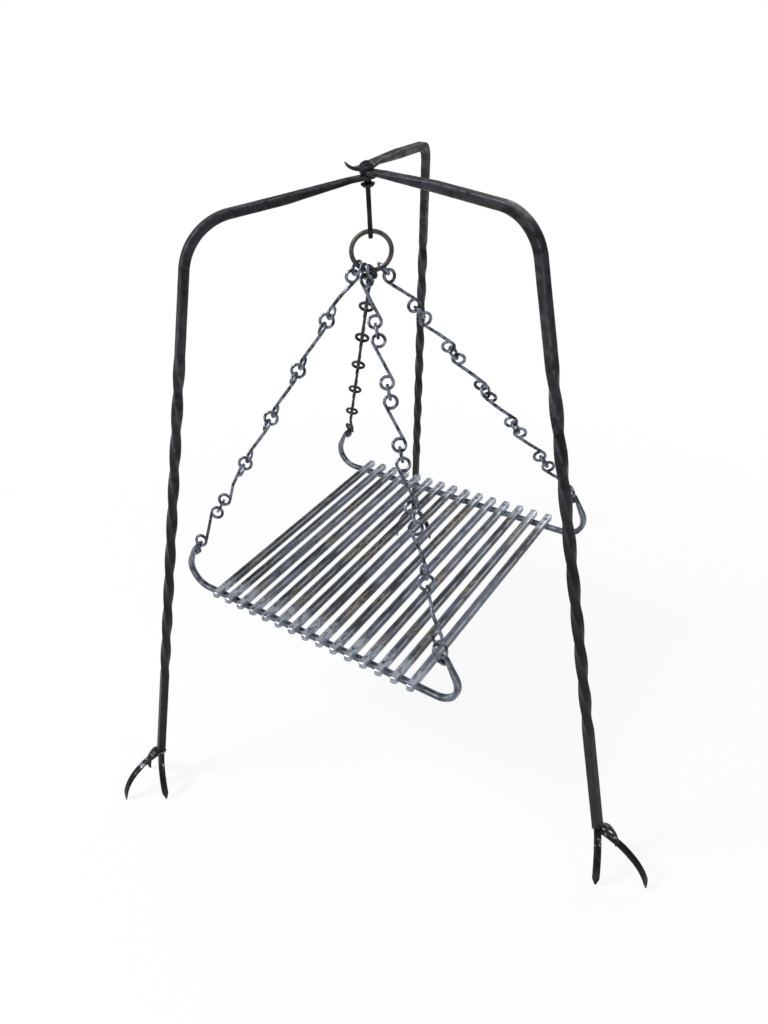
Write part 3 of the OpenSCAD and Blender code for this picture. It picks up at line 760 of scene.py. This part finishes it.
def leg_stations(stand, shape, curled):
    """Stations of a whole leg, from the point behind the pin to the foot."""
    half = stand.bar / 2
    straight, upright = shape.direction(0.0)
    found = leaf_stations(stand, shape, curled)
    begin = moved([Station(flat_point(stand.leaf_reach, shape.leaf_z), Y, Z, stand.leaf_wide / 2,
                           stand.leaf_thick / 2, LEAF_SQUARE)], shape.turn)[0]
    end = moved([Station(straight * stand.taper, Y, upright, half, half)], shape.frame)[0]
    for t in steps(0.0, 1.0, 0.06)[:-1]:
        found.append(Station(begin.at.lerp(end.at, t), begin.side.lerp(end.side, t).normalized(),
                             begin.up.lerp(end.up, t).normalized(), begin.wide + (end.wide - begin.wide) * t,
                             begin.thick + (end.thick - begin.thick) * t,
                             LEAF_SQUARE + (BAR_SQUARE - LEAF_SQUARE) * t))
    bar = [Station(straight * d, Y, upright, half, half)
           for d in steps(stand.taper, shape.arm - shape.tangent, 4 * MM)[:-1]]
    centre = straight * (shape.arm - shape.tangent) - upright * shape.bend
    for a in steps(0.0, shape.down, 3 * MM / shape.bend)[:-1]:
        _, up = shape.direction(a)
        bar.append(Station(centre + up * shape.bend, Y, up, half, half))
    along, up = shape.direction(shape.down)
    for d in steps(shape.tangent, shape.leg, 3 * MM):
        bar.append(Station(straight * shape.arm + along * d, Y, up, half, half, run=d))
    return capped(found + moved(bar, shape.frame))


def claw_stations(stand, reach, low=0.0):
    """Stations of one claw along +X: a flat strap that arcs down to a point on the floor."""
    half, wide = stand.claw_thick / 2, stand.claw_wide / 2
    top = stand.foot_height - half - low
    level, point_long, point_half = 4 * MM, 12 * MM, 0.9 * MM
    found = [Station(flat_point(x * MM, top), Y, Z, wide, half, CLAW_SQUARE) for x in (-6, -4, 0)]
    for a in steps(0.0, pi / 2, 0.045):
        at = flat_point(level + (reach - level) * sin(a), top * cos(a))
        ahead = flat_point((reach - level) * cos(a), -top * sin(a)).normalized()
        share = min(1.0, 0.2 + 0.8 * at.z / point_long)
        thick = half - (half - point_half) * (a / (pi / 2)) ** 2
        found.append(Station(at, Y, flat_point(-ahead.z, ahead.x), wide * share, thick, CLAW_SQUARE))
    return capped(found)


def hook_stations(hook):
    """Stations of the shank and the hook, from the shoulder down and round to its end."""
    wire, bend = hook.wire, hook.bend
    # Radius, sideways offset and height of the double bend between the shank and the hook
    swan, offset, high = 12 * MM, 2 * MM, 868 * MM
    lean = acos((2 * swan - bend) / hypot(2 * swan, offset)) - atan(offset / (2 * swan))
    low = high - 2 * swan * sin(lean) - offset * cos(lean)
    found = [Station(flat_point(0, z), Y, X, wire, wire, SHANK_SQUARE)
             for z in steps(hook.shoulder + 0.4 * MM, high, 3 * MM)[:-1]]
    found += arc_stations(flat_point(-swan, high), swan, 0.0, -lean, wire, wire, 1.5 * MM, SHANK_SQUARE)
    found += inward(arc_stations(flat_point(swan - bend, low), swan, pi - lean, pi, wire, wire, 1.5 * MM,
                                 NECK_SQUARE))
    found += [Station(flat_point(-bend, z), Y, X, wire, wire, HOOK_SQUARE)
              for z in steps(low, hook.height, 3 * MM)[1:-1]]
    found += inward(arc_stations(flat_point(0, hook.height), bend, pi, tau, wire, wire, 1.2 * MM,
                                 HOOK_SQUARE))
    # The hook's end: height over the middle of the bend, in millimetres, and share of the full section
    for z, share in ((3, 1.0), (8, 1.0), (13, 0.98), (15.5, 0.93), (17, 0.75), (17.8, 0.45)):
        found.append(Station(flat_point(bend, hook.height + z * MM), Y, -X, wire * share, wire * share,
                             HOOK_SQUARE))
    return capped(found)


def main_ring_height(hook):
    """Height of the middle of the main ring, where it hangs on the hook."""
    return hook.height - hook.bend + hook.wire + hook.ring_wire + RING_CLEAR - hook.ring


class ChainLine:
    """Where the rings and links of one chain stand, counted along its line from the rail."""

    def __init__(self, scene, name):
        chain, hook, rack = scene.grate_chain, scene.grate_hook, scene.grate_rack
        self.sizes, self.data = chain, CHAINS[name]
        # Chain d gets the darker copy of the chain finish, as painted shade
        self.finish = FINISHES["painted_shade_chain" if name == "d" else "chain"]
        hang = radians(self.data["hang"])
        swing = hook.ring * sin(hang)
        top = Vector((-swing * sin(hook.turn), swing * cos(hook.turn),
                      main_ring_height(hook) - hook.ring * cos(hang)))
        east, north = self.data["corner"]
        start = Vector((east * rack.eye_out, north * (rack.rail_out + rack.chain_out), rack.eye_height))
        line = top - start
        self.frame = (Matrix.Translation(start) @ turned(atan2(line.y, line.x), "Z")
                      @ turned(acos(line.z / line.length), "Y"))
        self.low_ring = chain.large_ring if name == "b" else chain.ring
        self.low_wire = chain.large_wire if name == "b" else chain.wire
        self.low = START_GAP + self.low_ring
        self.hop = chain.ring + chain.eye - 2 * chain.wire - chain.play
        self.first = self.low + self.low_ring + chain.eye - self.low_wire - chain.wire - chain.play
        high = (line.length - chain.ring + hook.ring_wire + chain.wire + chain.play
                + self.data["lift"] * MM)
        self.link = (high - self.first - (2 * LINKS - 1) * self.hop) / LINKS

    def link_at(self, i):
        return self.first + i * (self.link + 2 * self.hop)

    def ring_at(self, j):
        return self.low if j == 0 else self.link_at(j - 1) + self.link + self.hop

    def ring(self, j):
        """Stations of ring j."""
        radius, wire = (self.low_ring, self.low_wire) if j == 0 else (self.sizes.ring, self.sizes.wire)
        place = self.frame @ Matrix.Translation((0, 0, self.ring_at(j)))
        return moved(ring_stations(radius, wire), place @ turned(radians(self.data["rings"][j]), "Z"))

    def half_link(self):
        """Stations of a link's lower half, from the end of its eye to the middle of its shank."""
        eye, wire, size = self.sizes.eye, self.sizes.wire, self.link
        lean = asin(2 * eye / size)
        found = arc_stations(Vector(), eye, lean + self.sizes.eye_open, lean + tau, wire, wire, 1.5 * MM,
                             LINK_SQUARE)
        found[0] = replace(found[0], wide=wire * SCARF, thick=wire * SCARF)
        out = flat_point(cos(lean), sin(lean))
        ahead = flat_point(-sin(lean), cos(lean))
        run = sqrt(size * size / 4 - eye * eye)
        for d in steps(0.0, run, 1.5 * MM)[1:]:
            square = LINK_SQUARE + HAMMERED * (0.5 - 0.5 * cos(pi * d / run))
            found.append(Station(out * eye + ahead * d, Y, out, wire, wire, square, run=d))
        return found

    def link_stations(self, i):
        """Stations of a whole S-link, its upper half turned over and set against the lower."""
        place = self.frame @ Matrix.Translation((0, 0, self.link_at(i)))
        lower = moved(self.half_link(), turned(radians(self.data["low"][i]), "Z"))
        top = Matrix.Translation((0, 0, self.link)) @ turned(radians(self.data["high"][i]), "Z")
        upper = moved(self.half_link(), top @ turned(pi, "Y"))
        return capped(moved(lower + inward(reversed(upper))[1:], place))


def rail_stations(rack):
    """Stations of a rail in the XZ plane: straight, upswept, tapered and rolled into an eye at each end."""
    half, bend, lean = rack.rail / 2, rack.curl, rack.curl_end
    rail_z = rack.height - rack.bar / 2 - half
    thin = rack.eye_wall / 2
    roll = rack.eye_hole + thin
    out = flat_point(cos(lean), sin(lean))
    ahead = flat_point(-sin(lean), cos(lean))
    eye = flat_point(rack.eye_out, rack.eye_height)
    tip = eye + out * roll
    run = (tip.z - rail_z - bend - bend * sin(lean)) / cos(lean)
    centre = flat_point(tip.x + run * sin(lean) - bend * cos(lean), rail_z + bend)
    right = [Station(flat_point(x, rail_z), Y, -Z, half, half) for x in steps(0.0, centre.x, 5 * MM)[:-1]]
    right += arc_stations(centre, bend, -pi / 2, lean, half, half, 2.5 * MM)
    begin = centre + out * bend
    for d in steps(0.0, run, 2 * MM)[1:-1]:
        right.append(Station(begin + ahead * d, Y, out, half, half + (thin - half) * d / run))
    rolled = arc_stations(eye, roll, lean, lean + radians(338), half, thin, 1.2 * MM, ROLL_SQUARE)
    rolled[-1] = replace(rolled[-1], thick=thin * 0.6)
    right += rolled
    left = [replace(s, at=flat_point(-s.at.x, s.at.z), up=flat_point(-s.up.x, s.up.z))
            for s in reversed(right[1:])]
    return capped(left + right)


def bar_stations(rack, number):
    """Stations of one bar with chamfered ends."""
    half, end = rack.bar / 2, rack.bar_long / 2
    at = Vector(((number - (rack.bars + 1) / 2) * rack.pitch, 0, rack.height))
    # Distance from the bar's end, share of the full section, and squareness
    chamfer = [(0.0, 0.64, 7.0), (2.6 * MM, 0.96, 9.0), (3.4 * MM, 1.0, BAR_SQUARE)]
    rows = [(y - end, share, square) for y, share, square in chamfer]
    rows += [(y, 1.0, BAR_SQUARE) for y in steps(7 * MM - end, end - 7 * MM, 5 * MM)]
    rows += [(end - y, share, square) for y, share, square in reversed(chamfer)]
    return capped([Station(at + Y * y, X, Z, half * share, half * share, square)
                   for y, share, square in rows])


def dome_profile(radius, rise, spacing):
    """Radius and depth under the top of each point of a dome, from the middle to its rim."""
    rim = acos((radius - rise) / radius)
    return [(radius * sin(a), radius - radius * cos(a)) for a in steps(0.0, rim, spacing)]


def rivet_profile(rack):
    """Radius and height of a rivet: domed head below, shank, and a low peened face on top."""
    top = rack.height + rack.bar / 2
    bottom = rack.height - rack.bar / 2 - rack.rail
    rise = 1.3 * MM
    head = [(radius, bottom - rise + depth) for radius, depth in dome_profile(2.8 * MM, rise, 0.2)]
    # Share of the shank's radius, and height over the bar in millimetres
    face = [(1.15, 0.02), (0.95, 0.22), (0.5, 0.32), (0, 0.34)]
    peen = [(rack.rivet * share, top + z * MM) for share, z in face]
    return head + [(rack.rivet, bottom), (rack.rivet, top)] + peen


class GrateOperator(bpy.types.Operator):
    """What the operators have in common."""
    bl_options = {"UNDO"}


class GRATE_OT_legs(GrateOperator):
    """Forges the three twisted legs with their drilled, flattened ends"""
    bl_idname = "grate.legs"
    bl_label = "Legs"

    def execute(self, context):
        stand = context.scene.grate_stand
        twist = (stand.twist_from, stand.twist_to, -stand.quarter_turns)
        bore, depth = stand.pin + 0.05 * MM, 10 * MM
        for seed, side in enumerate(LEGS):
            shape = LegShape(stand, side)
            leg = forged(leg_stations(stand, shape, LEGS[side]["curled"]), FINISHES["stand"], around=32,
                         dent=0.22, dent_size=14, seed=seed, twist=twist)
            drill = (bore, shape.leaf_z - depth, shape.leaf_z + depth)
            finished("forged_leg_" + side, [leg], "leg_" + side, drill)
        return {"FINISHED"}


class GRATE_OT_claws(GrateOperator):
    """Forges the claw feet and the weld that joins them"""
    bl_idname = "grate.claws"
    bl_label = "Claw feet"

    def execute(self, context):
        stand = context.scene.grate_stand
        # The claws of a foot lie at slightly different heights where they overlap in the weld
        sink = 0.12 * MM
        for seed, side in enumerate(FEET):
            foot = LegShape(stand, side).foot()
            front, spread = radians(FEET[side]["front"]), radians(FEET[side]["spread"])
            meshes = []
            for k, (reach, swing) in enumerate(zip(FEET[side]["claws"], (0, spread, -spread))):
                place = Matrix.Translation((foot.x, foot.y, 0)) @ turned(front + swing, "Z")
                stations = moved(claw_stations(stand, reach * MM, sink * k), place)
                meshes.append(forged(stations, FINISHES["claw"], dent=0.18, seed=10 * seed + k))
            finished("forged_claws_" + side, meshes, "claws_" + side)
        return {"FINISHED"}


class GRATE_OT_hook(GrateOperator):
    """Forges the riveted pin with its shank and hook, and the collar on it"""
    bl_idname = "grate.hook"
    bl_label = "Hook and collar"

    def execute(self, context):
        stand, hook = context.scene.grate_stand, context.scene.grate_hook
        foot, finish = hook.shoulder, FINISHES["hook"]
        head = stand.leaf_top + stand.leaf_thick / 2 + 0.2 * MM
        low = stand.leaf_top - 2 * (stand.leaf_thick + stand.leaf_gap) - stand.leaf_thick / 2 - 0.3 * MM
        rise, shoulder, edge = 5 * MM, stand.pin + 0.9 * MM, 0.6 * MM
        cap = [(radius, head + rise - depth) for radius, depth in dome_profile(12 * MM, rise, 0.08)]
        pin = cap + [(stand.pin, head), (stand.pin, low), (shoulder, low), (shoulder, foot + edge),
                     (shoulder - edge, foot), (hook.wire, foot), (0.0, foot)]
        shank = forged(moved(hook_stations(hook), turned(hook.turn, "Z")), finish, around=20,
                       dent=0.12, dent_size=7, seed=31)
        finished("forged_hook", [lathed(pin, finish), shank], "swivel_hook")
        base, top, bore, rim, ball = foot - 7.1 * MM, 7 * MM, hook.wire + 0.05 * MM, 9.5 * MM, 11 * MM
        bell = [(r, base + ball - sqrt(ball * ball - r * r)) for r in steps(bore, rim, 0.8 * MM)]
        bell += [(rim, base + top - edge), (rim - edge, base + top), (bore, base + top)]
        finished("forged_collar", [lathed(bell, finish, closed=True)], "hook_collar")
        return {"FINISHED"}


class GRATE_OT_main_ring(GrateOperator):
    """Forges the main ring that carries the four chains"""
    bl_idname = "grate.main_ring"
    bl_label = "Main ring"

    def execute(self, context):
        hook = context.scene.grate_hook
        place = Matrix.Translation((0, 0, main_ring_height(hook))) @ turned(hook.turn + pi / 2, "Z")
        ring = forged(moved(ring_stations(hook.ring, hook.ring_wire), place), FINISHES["ring"], around=20,
                      dent=0.12, dent_size=8, seed=32)
        finished("forged_main_ring", [ring], "main_ring")
        return {"FINISHED"}


class GRATE_OT_bars(GrateOperator):
    """Cuts the bars of the grate, each with its own dents"""
    bl_idname = "grate.bars"
    bl_label = "Bars"

    def execute(self, context):
        rack = context.scene.grate_rack
        for number in range(1, rack.bars + 1):
            bar = forged(bar_stations(rack, number), FINISHES["bar"], dent=0.12, dent_size=11,
                         seed=40 + number)
            finished(f"grate_bar_{number:02d}", [bar], f"bar_{number:02d}")
        return {"FINISHED"}


class GRATE_OT_rails(GrateOperator):
    """Bends the two rails and rolls their ends into eyes"""
    bl_idname = "grate.rails"
    bl_label = "Rails"

    def execute(self, context):
        rack = context.scene.grate_rack
        for side, sign in SIDES.items():
            place = Matrix.Translation((0, sign * rack.rail_out, 0))
            rail = forged(moved(rail_stations(rack), place), FINISHES["rail"], seed=60 + sign)
            finished("grate_rail_" + side, [rail], "rail_" + side)
        return {"FINISHED"}


class GRATE_OT_rivets(GrateOperator):
    """Sets the rivets that hold the bars on the rails"""
    bl_idname = "grate.rivets"
    bl_label = "Rivets"

    def execute(self, context):
        rack, finish = context.scene.grate_rack, FINISHES["rivet"]
        first = -(rack.bars - 1) / 2 * rack.pitch
        for side, sign in SIDES.items():
            row = grown(tree_named(rivet_row_tree), lathed(rivet_profile(rack), finish, around=16), {
                "Count": rack.bars, "Start": (first, sign * rack.rail_out, 0.0),
                "Step": (rack.pitch, 0.0, 0.0), "Seed": 3 + sign, "Material": finish})
            finished("grate_rivets_" + side, [row], "rivets_" + side)
        return {"FINISHED"}


class GRATE_OT_chain_rings(GrateOperator):
    """Forges the rings of each chain"""
    bl_idname = "grate.chain_rings"
    bl_label = "Chain rings"

    def execute(self, context):
        for number, name in enumerate(CHAINS):
            line = ChainLine(context.scene, name)
            rings = [forged(line.ring(j), line.finish, around=14, dent_size=6, seed=100 + 10 * number + j)
                     for j in range(LINKS + 1)]
            finished("chain_rings_" + name, rings, "rings_" + name)
        return {"FINISHED"}


class GRATE_OT_links(GrateOperator):
    """Bends the long S-links of each chain"""
    bl_idname = "grate.links"
    bl_label = "S-links"

    def execute(self, context):
        for number, name in enumerate(CHAINS):
            line = ChainLine(context.scene, name)
            for i in range(LINKS):
                link = forged(line.link_stations(i), line.finish, around=14, dent=0.12, dent_size=7,
                              seed=200 + 10 * number + i)
                finished(f"chain_link_{name}{i + 1}", [link], f"link_{name}{i + 1}")
        return {"FINISHED"}


def seen_rays(graph):
    """1 for rays from the camera or through glass."""
    rays = graph.node("ShaderNodeLightPath")
    camera, through = [Wire(graph, rays.outputs[name]) for name in ("Is Camera Ray", "Is Transmission Ray")]
    return camera.largest(through)


def studio_floor(colours):
    """A pale floor that shows white far off and keeps the object's shadow."""
    material, graph = new_material("studio_floor")
    place = graph.add("ShaderNodeTexCoord", output=3)
    away = graph.add("ShaderNodeVectorMath", {0: place}, operation="LENGTH", output=1)
    paint = graph.add("ShaderNodeBsdfDiffuse", {"Color": (*colours.floor, 1.0)})
    glow = graph.add("ShaderNodeEmission", {"Color": WHITE, "Strength": 1.0})
    # How much of the floor's colour is plain white to the camera, near the object
    glowing = 0.86
    shown = seen_rays(graph) * (glowing + away.between(0.5, 1.3) * (1 - glowing))
    mixed = graph.add("ShaderNodeMixShader", {0: shown, 1: paint, 2: glow})
    graph.node("ShaderNodeOutputMaterial", {"Surface": mixed})
    return material


# Each lamp: its place and width in metres, and its power in watts
LAMPS = {
    "key_lamp": dict(place=(-1.4, -1.6, 2.6), size=1.0, watts=80.0),
    "fill_lamp": dict(place=(2.2, -0.6, 1.8), size=1.2, watts=14.0),
    "back_lamp": dict(place=(0.2, 2.4, 2.2), size=1.4, watts=26.0),
}
# The point that the lamps are turned to
LAMPS_AIM = Vector((0, 0, 0.4))


class GRATE_OT_stage(GrateOperator):
    """Lays the floor, hangs the lamps and sets up the camera"""
    bl_idname = "grate.stage"
    bl_label = "Floor, light and camera"

    def execute(self, context):
        scene = context.scene
        self.lay_floor(scene)
        self.light(scene)
        self.aim_camera(scene)
        scene.view_settings.view_transform = "Standard"
        return {"FINISHED"}

    def lay_floor(self, scene):
        size, sink = 30.0, 0.3 * MM
        corners = [(x * size, y * size, -sink) for x, y in ((-1, -1), (1, -1), (1, 1), (-1, 1))]
        mesh = bpy.data.meshes.new("floor")
        mesh.from_pydata(corners, [], [(0, 1, 2, 3)])
        mesh.materials.append(studio_floor(scene.grate_finish))
        placed("floor", mesh)

    def light(self, scene):
        world = scene.world or bpy.data.worlds.new("studio")
        scene.world = world
        world.use_nodes = True
        graph = Graph(world.node_tree)
        soft = graph.add("ShaderNodeBackground", {"Color": (0.97, 0.98, 1.0, 1.0), "Strength": 0.3})
        white = graph.add("ShaderNodeBackground", {"Color": WHITE, "Strength": 1.0})
        mixed = graph.add("ShaderNodeMixShader", {0: seen_rays(graph), 1: soft, 2: white})
        graph.node("ShaderNodeOutputWorld", {"Surface": mixed})
        for name, lamp in LAMPS.items():
            data = bpy.data.lights.new(name, "AREA")
            data.shape, data.size, data.energy = "DISK", lamp["size"], lamp["watts"]
            aim = LAMPS_AIM - Vector(lamp["place"])
            turn = aim.to_track_quat("-Z", "Y").to_matrix().to_4x4()
            placed(name, data).matrix_world = Matrix.Translation(lamp["place"]) @ turn

    def aim_camera(self, scene):
        shot = scene.grate_camera
        level = cos(shot.above)
        back = Vector((sin(shot.around) * level, -cos(shot.around) * level, sin(shot.above)))
        flat = (-back).cross(Z).normalized()
        high = flat.cross(-back)
        right = flat * cos(shot.roll) + high * sin(shot.roll)
        up = high * cos(shot.roll) - flat * sin(shot.roll)
        lens = bpy.data.cameras.new("camera")
        lens.sensor_fit, lens.sensor_height, lens.lens = "VERTICAL", 36.0, shot.lens
        lens.shift_x, lens.shift_y = shot.shift
        lens.clip_start = 0.05
        camera = placed("camera", lens)
        turn = Matrix((right, up, back)).transposed().to_4x4()
        camera.matrix_world = Matrix.Translation(shot.place) @ turn
        scene.camera = camera


OPERATORS = (GRATE_OT_legs, GRATE_OT_claws, GRATE_OT_hook, GRATE_OT_main_ring, GRATE_OT_bars, GRATE_OT_rails,
             GRATE_OT_rivets, GRATE_OT_chain_rings, GRATE_OT_links, GRATE_OT_stage)


class GRATE_PT_panel(bpy.types.Panel):
    """Lists the steps that make the grill grate"""
    bl_idname = "GRATE_PT_panel"
    bl_label = "Hanging Grill Grate"
    bl_space_type = "VIEW_3D"
    bl_region_type = "UI"
    bl_category = "Grill Grate"

    def draw(self, context):
        column = self.layout.column(align=True)
        for operator in OPERATORS:
            column.operator(operator.bl_idname)


CLASSES = (*SETTINGS.values(), *OPERATORS, GRATE_PT_panel)


def register():
    for item in CLASSES:
        bpy.utils.register_class(item)
    for name, group in SETTINGS.items():
        setattr(bpy.types.Scene, name, bpy.props.PointerProperty(type=group))


def unregister():
    for name in SETTINGS:
        delattr(bpy.types.Scene, name)
    for item in reversed(CLASSES):
        bpy.utils.unregister_class(item)


def main():
    """Makes every piece, then the stage."""
    register()
    make_finishes(bpy.context.scene)
    for operator in OPERATORS:
        group, name = operator.bl_idname.split(".")
        getattr(getattr(bpy.ops, group), name)()
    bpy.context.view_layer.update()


if __name__ == "__main__":
    main()
